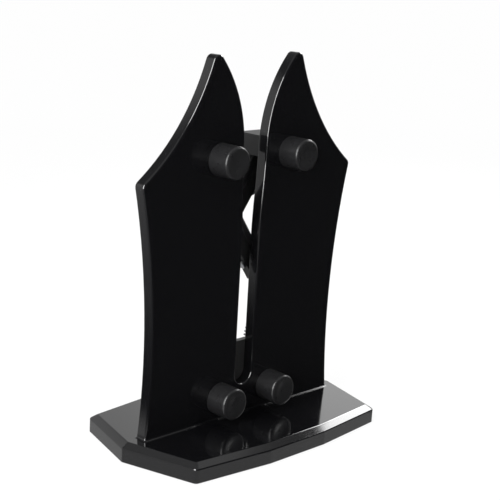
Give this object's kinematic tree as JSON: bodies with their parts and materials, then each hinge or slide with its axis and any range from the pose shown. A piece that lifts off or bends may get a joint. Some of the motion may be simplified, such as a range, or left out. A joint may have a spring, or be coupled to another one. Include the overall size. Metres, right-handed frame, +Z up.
{
  "type": "knife sharpener",
  "caption": "Free-standing upright knife sharpener: pointed fins on a bevelled base, with sprung crossed sharpening bars behind a narrow blade slot.",
  "frame": {"origin": "middle of the underside of the non-slip pad, at the middle of the base", "axes": "+Z up, +X to the right seen from the front, the front with the four round caps faces -Y"},
  "size_m": [0.1416, 0.0854, 0.1825],
  "materials": {
    "gloss_black": "high gloss moulded ABS",
    "cap_black": "semi-gloss moulded ABS",
    "arm_black": "matt glass-filled nylon",
    "brace_black": "fine-textured powder coat",
    "ballast_steel": "plain rolled",
    "zinc_steel": "bright zinc plate",
    "spring_steel": "bright drawn wire",
    "carbide": "fine ground with a hard grey coating",
    "bronze": "sintered",
    "pad_rubber": "fine-ribbed",
    "stop_rubber": "smooth"
  },
  "bodies": {
    "stand": {"base_plate": "gloss_black", "base_ballast": "ballast_steel", "non_slip_pad": "pad_rubber", "upright_frame": "gloss_black", "frame_screws": "zinc_steel", "rear_brace": "brace_black", "brace_screws": "zinc_steel", "left_pivot_cap": "cap_black", "right_pivot_cap": "cap_black", "left_anchor_cap": "cap_black", "right_anchor_cap": "cap_black", "left_pivot_bolt": "zinc_steel", "right_pivot_bolt": "zinc_steel", "left_anchor_bolt": "zinc_steel", "right_anchor_bolt": "zinc_steel", "front_washers": "zinc_steel", "rear_washers": "zinc_steel", "pivot_nuts": "zinc_steel", "anchor_sleeves": "zinc_steel", "anchor_washers": "zinc_steel", "anchor_nuts": "zinc_steel", "left_spring": "spring_steel", "right_spring": "spring_steel", "rest_stops": "stop_rubber", "travel_stops": "stop_rubber"},
    "left_lever": {"left_arm": "arm_black", "left_bush": "bronze", "left_sharpening_bar": "carbide", "left_bar_screws": "zinc_steel", "left_spring_stud": "zinc_steel"},
    "right_lever": {"right_arm": "arm_black", "right_bush": "bronze", "right_sharpening_bar": "carbide", "right_bar_screws": "zinc_steel", "right_spring_stud": "zinc_steel"}
  },
  "joints": [
    {"name": "left_arm_swing", "type": "hinge", "parent": "stand", "child": "left_lever", "pos_m": [-0.0226, 0.01, 0.1356], "axis": [0, 1, 0], "range_deg": [0, 17], "stiffness_Nm_per_rad": 1.1, "springref_deg": -17.19, "deforming": ["left_spring"]},
    {"name": "right_arm_swing", "type": "hinge", "parent": "stand", "child": "right_lever", "pos_m": [0.0226, 0.01, 0.1356], "axis": [0, -1, 0], "range_deg": [0, 17], "stiffness_Nm_per_rad": 1.1, "springref_deg": -17.19, "deforming": ["right_spring"]}
  ]
}
